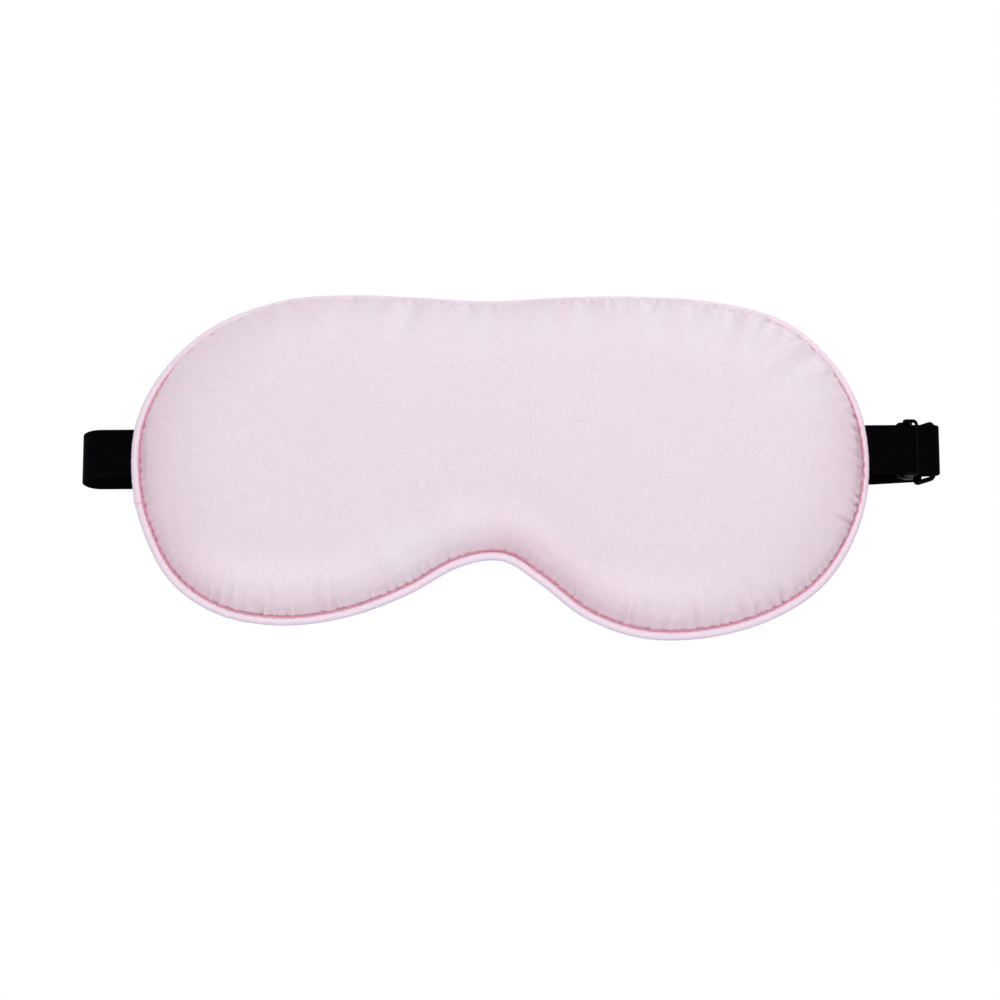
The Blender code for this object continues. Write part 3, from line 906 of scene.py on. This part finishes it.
def seam_thread(side):
    """Rings of the thread that runs round the seam and dips into the cloth at each needle hole."""
    stitches = round(EDGE_LENGTH / STITCH_PITCH)
    count = stitches * STEPS_PER_STITCH
    edge_along = np.arange(OUTLINE_STEPS) / OUTLINE_STEPS * EDGE_LENGTH
    inset = SEAM_THREAD_INSET + seam_shift(edge_along)
    line = EDGE + INWARD * inset[:, None]
    # The thread lies on the shoulder of the piping.
    reach = PIPING_RADIUS + SEAM_THREAD_RADIUS
    rest = np.sqrt(np.clip(reach**2 - (inset - PIPING_RADIUS) ** 2, LEAST_THREAD_DEPTH**2, None))
    uneven = rng.uniform(0.75, 1.2, stitches)
    rings = []
    for n in range(count):
        step = n / count * OUTLINE_STEPS
        low = int(step)
        high = (low + 1) % OUTLINE_STEPS
        t = step - low
        x, z = line[low] * (1 - t) + line[high] * t
        inner = INWARD[low] * (1 - t) + INWARD[high] * t
        place = (n % STEPS_PER_STITCH) / STEPS_PER_STITCH
        hole = math.exp(-((min(place, 1 - place) / 0.12) ** 2))
        depth = rest[low] - NEEDLE_DIP * hole * uneven[n // STEPS_PER_STITCH]
        radius = SEAM_THREAD_RADIUS * (1 - 0.35 * hole)
        ring = []
        for a in np.arange(THREAD_SIDES) / THREAD_SIDES * 2 * math.pi:
            off = radius * math.cos(a)
            y = SEAM_Y + side * (depth + radius * math.sin(a))
            ring.append((x + inner[0] * off, y, z + inner[1] * off))
        rings.append(ring)
    return rings


seam_stitches = joined_tubes("seam_stitches", [seam_thread(-1), seam_thread(1)], True)
finish_piece(seam_stitches, ROSE_THREAD, "mask", ("seam_thread",))


# -------- elastic


RIBS = 21
RIB_HEIGHT = 0.07 * MM


def resample(path, step):
    """Points at equal steps along an open path."""
    line = np.array(path, float)
    travelled = np.concatenate([[0], np.cumsum(np.linalg.norm(np.diff(line, axis=0), axis=1))])
    wanted = np.linspace(0, travelled[-1], max(3, int(travelled[-1] / step) + 1))
    return np.stack([np.interp(wanted, travelled, line[:, k]) for k in (0, 1)], axis=1)


def band_section():
    """(across the width from -1 to 1, half thickness) of the ribbed elastic."""
    count = RIBS * 4 + 1
    t = np.linspace(-1, 1, count)
    ribs = RIB_HEIGHT * (0.5 - 0.5 * np.cos(math.pi * RIBS * (t + 1)))
    rounding = 0.03
    edge = np.clip((np.abs(t) - (1 - rounding)) / rounding, 0, 1)
    body = (STRAP_HALF - RIB_HEIGHT + ribs) * np.sqrt(1 - 0.9 * edge**2)
    return t, body


def band(name, path, step):
    """A ribbed elastic band along a path of (x, depth) points."""
    line = resample(path, step)
    along = np.gradient(line, axis=0)
    along /= np.linalg.norm(along, axis=1)[:, None]
    across = np.stack([-along[:, 1], along[:, 0]], axis=1)
    t, half = band_section()
    rings = []
    for point, side in zip(line, across):
        z = strap_z(point[0]) + t * STRAP_HALF_WIDTH
        near = point[None, :] + side[None, :] * half[:, None]
        far = point[None, :] - side[None, :] * half[:, None]
        one = np.stack([near[:, 0], SEAM_Y + near[:, 1], z], axis=1)
        two = np.stack([far[:, 0], SEAM_Y + far[:, 1], z], axis=1)[::-1]
        rings.append(np.vstack([one, two]))
    obj = loft(name, rings)
    obj.data.set_sharp_from_angle(angle=math.radians(50))
    return obj


def arc_points(centre, radius, start, stop, steps):
    angles = np.radians(np.linspace(start, stop, steps + 1))
    return [(centre[0] + radius * math.cos(a), centre[1] + radius * math.sin(a)) for a in angles]


def strap_piece(name, path, step, body, replaced=()):
    """A length of elastic. A body of None leaves it on no body, for a piece that lies between two.
    """
    piece = band(name, path, step)
    finish_piece(piece, ELASTIC, body, replaced)
    return piece


LEAD_END_X = corner("strap_left_lead", 1, 0)
LEFT_OUTERMOST = corner("strap_left_turn", 0, 0)
RUN_RIGHT = corner("strap_back_run", 1, 0)
SIDE_END = corner("strap_right_side", 1, 0)
TURN_RADIUS = (BACK_RUN - FRONT_RUN) / 2
TURN_CENTRE = (LEFT_OUTERMOST + STRAP_HALF + TURN_RADIUS, FRONT_RUN + TURN_RADIUS)
RUN_END = RUN_RIGHT + 0.15 * MM

# The long strap leaves the seam, turns back on itself and runs behind the mask in one piece.
long_path = [
    (LEAD_END_X, FRONT_RUN),
    *arc_points(TURN_CENTRE, TURN_RADIUS, -90, -270, 40),
    (RUN_END, BACK_RUN),
]
long_nodes = ("strap_left_lead", "strap_left_turn", "strap_back_run")
long_strap = strap_piece("strap_long_band", long_path, 0.9 * MM, None, long_nodes)
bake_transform(long_strap)

# The ring stands between two bars: the long strap loops round its left one, and the short
# strap turns round its right one.
WIRE = 0.7 * MM
CLEARANCE = 0.3 * MM
BAR_TO_STRAP = WIRE + CLEARANCE + STRAP_HALF
RING_LEFT = (corner("ring", 0, 0) + WIRE, corner("ring", 1, 1) - WIRE - SEAM_Y)
RING_RIGHT = (corner("ring", 1, 0) - WIRE, corner("ring", 0, 1) + WIRE - SEAM_Y)


def side_depth(x):
    """Depth of the long strap where it slants from the back run to the ring."""
    share = (x - RUN_RIGHT) / (RING_LEFT[0] - RUN_RIGHT)
    return BACK_RUN + share * (RING_LEFT[1] + BAR_TO_STRAP - BACK_RUN)


# On its way to the ring the strap first follows the back run, then gathers as the ring slides.
side_end = SIDE_END + 0.15 * MM
side_split = RUN_END + 1.2 * MM
side_path = [(RUN_END, BACK_RUN), (side_split, side_depth(side_split))]
side_band = strap_piece("strap_side_band", side_path, 0.1 * MM, None, ("strap_right_side",))
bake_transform(side_band)
gather_path = [(side_split, side_depth(side_split)), (side_end, side_depth(side_end))]
gather_band = strap_piece("strap_side_gather", gather_path, 0.2 * MM, None)
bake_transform(gather_band)

# The loop turns round the ring's left bar and lies back against the strap it came from.
loop_turn = arc_points(RING_LEFT, BAR_TO_STRAP, 80, -90, 24)
loop_end = [
    (RING_LEFT[0] - 1.0 * MM, RING_LEFT[1] - BAR_TO_STRAP + 0.05 * MM),
    (RING_LEFT[0] - 1.9 * MM, RING_LEFT[1] - BAR_TO_STRAP + 0.3 * MM),
    (RING_LEFT[0] - 3.0 * MM, RING_LEFT[1] - BAR_TO_STRAP + 1.1 * MM),
    (RING_LEFT[0] - 4.0 * MM, side_depth(RING_LEFT[0] - 4.0 * MM) - STRAP_CLOTH - 0.12 * MM),
    (side_end + 0.4 * MM, side_depth(side_end + 0.4 * MM) - STRAP_CLOTH - 0.02 * MM),
]
loop_path = [(side_end, side_depth(side_end)), *loop_turn, *loop_end]
strap_piece("ring_loop_band", loop_path, 0.4 * MM, "ring_and_loop", ("strap_ring_loop",))

# The short strap turns round the ring's right bar, then round the slider's centre bar to its end.
SLIDER_X = middle_of("slider", 0)
SLIDER_FRONT = corner("slider", 0, 1) - SEAM_Y
SLIDER_REAR = corner("slider", 1, 1) - SEAM_Y
BAR_DEPTH = 1.0 * MM
BAR_Y = SLIDER_REAR - BAR_DEPTH / 2
LOOP_RADIUS = BAR_DEPTH / 2 + CLEARANCE + STRAP_HALF
SHORT_START = corner("short_strap", 0, 0)

front_path = [(SHORT_START, FRONT_RUN), *arc_points(RING_RIGHT, BAR_TO_STRAP, -90, 0, 14)]
front_band = strap_piece("short_strap_front_band", front_path, 0.5 * MM, None, ("short_strap",))
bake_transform(front_band)

tail_path = [
    *arc_points(RING_RIGHT, BAR_TO_STRAP, 0, 90, 14),
    (SLIDER_X + 0.8 * MM, BAR_Y + LOOP_RADIUS),
    *arc_points((SLIDER_X - 0.25 * MM, BAR_Y), LOOP_RADIUS, 90, 270, 20),
    (SLIDER_X + 1.6 * MM, BAR_Y - LOOP_RADIUS),
    (SLIDER_X + 2.9 * MM, BAR_Y - LOOP_RADIUS + 0.25 * MM),
    (SLIDER_X + 3.9 * MM, BAR_Y - LOOP_RADIUS + 0.75 * MM),
    (SLIDER_X + 5.4 * MM, BAR_Y - LOOP_RADIUS + 0.95 * MM),
]
tail_band = strap_piece("short_strap_tail_band", tail_path, 0.4 * MM, None)
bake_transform(tail_band)


# -------- ring, slider and bartacks


def sweep_wire(line, along, out_half, through_half, power=2.0, sides=20):
    """Carries a rounded section round a closed path in the (s, z) plane of a fitting."""
    rings = []
    for (s, z), (ds, dz) in zip(line, along):
        ring = []
        for a in np.arange(sides) / sides * 2 * math.pi:
            c = math.copysign(abs(math.cos(a)) ** (2 / power), math.cos(a)) * out_half
            t = math.copysign(abs(math.sin(a)) ** (2 / power), math.sin(a)) * through_half
            ring.append((s + dz * c, t, z - ds * c))
        rings.append(ring)
    return rings


def rounded_loop(half_width, half_height, radius, steps):
    """Points and directions round a rectangle with round corners."""
    path = []
    for quarter, (side, top) in enumerate(((1, 1), (-1, 1), (-1, -1), (1, -1))):
        centre = (side * (half_width - radius), top * (half_height - radius))
        path += arc_points(centre, radius, 90 * quarter, 90 * quarter + 90, steps)
    line = []
    for first, second in zip(path, path[1:] + path[:1]):
        gap = math.dist(first, second)
        pieces = max(1, int(gap / (1.2 * MM)))
        for k in range(pieces):
            t = k / pieces
            line.append(tuple(a + (b - a) * t for a, b in zip(first, second)))
    line = np.array(line)
    along = np.roll(line, -1, axis=0) - np.roll(line, 1, axis=0)
    return line, along / np.linalg.norm(along, axis=1)[:, None]


def make_ring():
    left = np.array(RING_LEFT)
    span = np.array(RING_RIGHT) - left
    half_width = np.linalg.norm(span) / 2
    direction = span / np.linalg.norm(span)
    middle = left + span / 2
    half_height = length_of("ring", 2) / 2 - WIRE
    line, along = rounded_loop(half_width, half_height, 1.3 * MM, 10)
    rings = []
    for ring in sweep_wire(line, along, WIRE, WIRE):
        points = []
        for s, through, z in ring:
            x = middle[0] + direction[0] * s - direction[1] * through
            y = middle[1] + direction[1] * s + direction[0] * through
            points.append((x, SEAM_Y + y, middle_of("ring", 2) + z))
        rings.append(points)
    return loft("ring_wire", rings, closed=True)


ring_wire = make_ring()
finish_piece(ring_wire, PLASTIC, "ring_and_loop", ("ring",))


def rounded_block(name, low, high, width):
    """A block with rounded edges, for the moulded pieces of the slider."""
    body = bmesh.new()
    bmesh.ops.create_cube(body, size=1.0)
    for vertex in body.verts:
        for axis in range(3):
            middle = (low[axis] + high[axis]) / 2
            vertex.co[axis] = middle + vertex.co[axis] * (high[axis] - low[axis])
    bmesh.ops.bevel(
        body,
        geom=body.edges[:],
        offset=width,
        segments=4,
        profile=0.5,
        affect="EDGES",
        clamp_overlap=True,
    )
    mesh = bpy.data.meshes.new(name)
    body.to_mesh(mesh)
    body.free()
    obj = bpy.data.objects.new(name, mesh)
    bpy.context.scene.collection.objects.link(obj)
    return obj


SLIDER_RAIL = 0.9 * MM
SLIDER_BAR = 1.2 * MM
SLIDER_TURN = 1.1 * MM
ARM_LAP = 0.5 * MM
POST_LOW = -1.1 * MM
POST_HIGH = 1.7 * MM


def half_frame(name, side, depth):
    """A rail on one side and an arm above and below the strap, with rounded outer corners."""
    half = SLIDER_RAIL / 2
    reach = length_of("slider", 0) / 2 - half
    top = length_of("slider", 2) / 2 - half
    turn = SLIDER_TURN
    round_corner = arc_points((reach - turn, top - turn), turn, 90, 0, 8)
    path = [(-side * ARM_LAP, top), (side * (reach - turn), top)]
    path += [(side * x, z) for x, z in round_corner[1:]]
    path += [(side * reach, z) for z in np.linspace(top - turn, turn - top, 16)[1:]]
    path += [(side * x, -z) for x, z in reversed(round_corner[:-1])]
    path.append((-side * ARM_LAP, -top))
    line = np.array(path)
    along = np.gradient(line, axis=0)
    along /= np.linalg.norm(along, axis=1)[:, None]
    rings = []
    for ring in sweep_wire(line, along, half, SLIDER_BAR / 2, power=3.0, sides=24):
        place = SEAM_Y + depth + SLIDER_BAR / 2
        rings.append([(SLIDER_X + s, place + t, middle_of("slider", 2) + z) for s, t, z in ring])
    return loft(name, rings)


def make_slider():
    """A rail before the strap, a rail behind it and a centre bar further back, moulded in one."""
    half_height = length_of("slider", 2) / 2
    inner = half_height - SLIDER_RAIL
    middle = middle_of("slider", 2)
    body = half_frame("slider_body", 1, SLIDER_FRONT)
    tools = [half_frame("left", -1, FRONT_RUN + STRAP_HALF + CLEARANCE)]
    for name, low, high in (("low", -half_height, -inner), ("high", inner, half_height)):
        tools.append(
            rounded_block(
                name,
                (SLIDER_X + POST_LOW, SEAM_Y + SLIDER_FRONT + 0.3 * MM, middle + low + 0.04 * MM),
                (SLIDER_X + POST_HIGH, SEAM_Y + SLIDER_REAR, middle + high - 0.04 * MM),
                0.3 * MM,
            )
        )
    reach = inner + SLIDER_RAIL / 2
    tools.append(
        rounded_block(
            "bar",
            (SLIDER_X - 0.8 * MM, SEAM_Y + SLIDER_REAR - BAR_DEPTH + 0.03 * MM, middle - reach),
            (SLIDER_X + 0.8 * MM, SEAM_Y + SLIDER_REAR - 0.03 * MM, middle + reach),
            0.35 * MM,
        )
    )
    for tool in tools:
        join = body.modifiers.new("Join", "BOOLEAN")
        join.operation = "UNION"
        join.object = tool
    bake(body)
    for tool in tools:
        bpy.data.objects.remove(tool)
    body.data.shade_smooth()
    body.data.set_sharp_from_angle(angle=math.radians(40))
    return body


slider = make_slider()
finish_piece(slider, PLASTIC, "adjuster", ("slider",))


TACK_HEIGHT = 12 * MM
TACK_HALF_WIDTH = 0.75 * MM
TACK_STITCHES = 26
TACK_LEAN = 0.2 * MM
TACK_DIP = 0.25 * MM
TACK_THREAD = 0.19 * MM


def bartack(name, x, depth):
    """A dense zigzag of black thread across the strap, on its back."""
    low = strap_z(x) - TACK_HEIGHT / 2
    runs = []
    for n in range(TACK_STITCHES):
        z = low + n * TACK_HEIGHT / TACK_STITCHES
        lean = TACK_LEAN if n % 2 else -TACK_LEAN
        start = np.array([x - TACK_HALF_WIDTH, SEAM_Y + depth, z - lean])
        end = np.array([x + TACK_HALF_WIDTH, SEAM_Y + depth, z + lean])
        runs.append(stitch(start, end, TACK_DIP, TACK_THREAD, np.array([0.0, 1.0, 0.0])))
    return joined_tubes(name, runs)


ring_tack_x = middle_of("strap_ring_tack", 0)
ring_tack = bartack("ring_bartack", ring_tack_x, side_depth(ring_tack_x) + STRAP_HALF + 0.1 * MM)
finish_piece(ring_tack, BLACK_THREAD, "ring_and_loop", ("strap_ring_tack",))
slider_tack_depth = corner("slider_tack", 0, 1) - SEAM_Y
slider_tack = bartack("slider_bartack", middle_of("slider_tack", 0), slider_tack_depth)
finish_piece(slider_tack, BLACK_THREAD, "adjuster", ("slider_tack",))


# -------- carried-over nodes


def repaint(node, material):
    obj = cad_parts[node]
    obj.data.materials.clear()
    obj.data.materials.append(material)


repaint("blackout_lining", BLACKOUT)
repaint("piping_cord", COTTON)


# -------- floor, light and camera


FLOOR_Z = -0.62
FLOOR_HALF = 12.0


def make_floor():
    signs = ((-1, -1), (1, -1), (1, 1), (-1, 1))
    corners = [(x * FLOOR_HALF, y * FLOOR_HALF, FLOOR_Z) for x, y in signs]
    floor = new_object("floor", corners, [(0, 1, 2, 3)])
    n = Nodes("pale floor")
    grain = n.noise(40.0)
    colour = n.ramp(grain, [(0.3, (0.875, 0.875, 0.875)), (0.7, (0.89, 0.89, 0.89))])
    floor.data.materials.append(n.finish(colour, n.range(grain, 0.7, 0.8)))


def make_light(name, place, size, energy):
    """A soft rectangular light that points at the mask."""
    light = bpy.data.lights.new(name, "AREA")
    light.shape = "RECTANGLE"
    light.size = size[0]
    light.size_y = size[1]
    light.energy = energy
    obj = bpy.data.objects.new(name, light)
    obj.location = place
    obj.rotation_euler = (-Vector(place)).to_track_quat("-Z", "Y").to_euler()
    bpy.context.scene.collection.objects.link(obj)


def make_world():
    """White studio walls, dimmer towards the front."""
    world = bpy.data.worlds.new("studio")
    world.use_nodes = True
    tree = world.node_tree
    background = tree.nodes["Background"]
    background.inputs["Color"].default_value = (1.0, 1.0, 1.0, 1.0)
    place = tree.nodes.new("ShaderNodeTexCoord")
    parts = tree.nodes.new("ShaderNodeSeparateXYZ")
    fade = tree.nodes.new("ShaderNodeMapRange")
    fade.interpolation_type = "SMOOTHSTEP"
    for name, value in (("From Min", -0.25), ("From Max", 0.45), ("To Min", 0.46), ("To Max", 1.0)):
        fade.inputs[name].default_value = value
    tree.links.new(place.outputs["Generated"], parts.inputs["Vector"])
    tree.links.new(parts.outputs["Y"], fade.inputs["Value"])
    tree.links.new(fade.outputs["Result"], background.inputs["Strength"])
    bpy.context.scene.world = world


CAMERA_DISTANCE = 1.5
CAMERA_ELEVATION = math.radians(-19.0)
CAMERA_TARGET = Vector((-0.0004, SEAM_Y, -0.0097))
SENSOR = 36.0
VIEW_WIDTH = 0.2855


def make_camera():
    """Straight in front of the mask but below it, looking up at the front."""
    back = Vector((0.0, -math.cos(CAMERA_ELEVATION), math.sin(CAMERA_ELEVATION)))
    data = bpy.data.cameras.new("camera")
    data.sensor_width = SENSOR
    data.lens = SENSOR * CAMERA_DISTANCE / VIEW_WIDTH
    data.clip_start = 0.05
    camera = bpy.data.objects.new("camera", data)
    camera.location = CAMERA_TARGET + back * CAMERA_DISTANCE
    camera.rotation_euler = (-back).to_track_quat("-Z", "Y").to_euler()
    bpy.context.scene.collection.objects.link(camera)
    bpy.context.scene.camera = camera


make_floor()
make_world()
make_light("key", (0.15, -1.25, 0.85), (1.0, 1.0), 5.3)
make_light("top", (0.5, -0.35, 1.1), (0.6, 0.4), 2.0)
make_light("fill", (-0.2, -1.6, -0.36), (1.4, 0.45), 5.9)
make_camera()
bpy.context.scene.view_settings.view_transform = "Standard"
